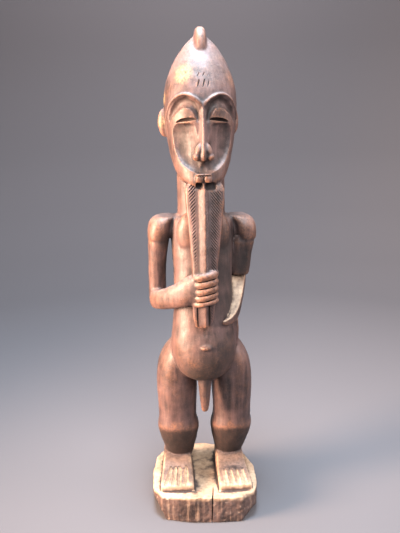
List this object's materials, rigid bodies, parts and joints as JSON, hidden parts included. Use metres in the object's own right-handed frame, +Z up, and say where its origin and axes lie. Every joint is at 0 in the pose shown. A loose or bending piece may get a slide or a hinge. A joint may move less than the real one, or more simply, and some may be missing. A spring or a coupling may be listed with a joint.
{
  "type": "carved standing figure",
  "caption": "Carved wooden standing figure of a bearded man on a rough round base, one hand holding the long beard and the other on the belly.",
  "frame": {"origin": "middle of the base's underside, where the figure stands", "axes": "+Z up along the log; the figure looks towards -Y; +X is the viewer's right, the figure's own left"},
  "size_m": [0.114, 0.116, 0.5],
  "materials": {
    "patinated_wood": "satin, dark patina"
  },
  "bodies": {
    "root": {"carved_figure": "patinated_wood"}
  },
  "joints": []
}
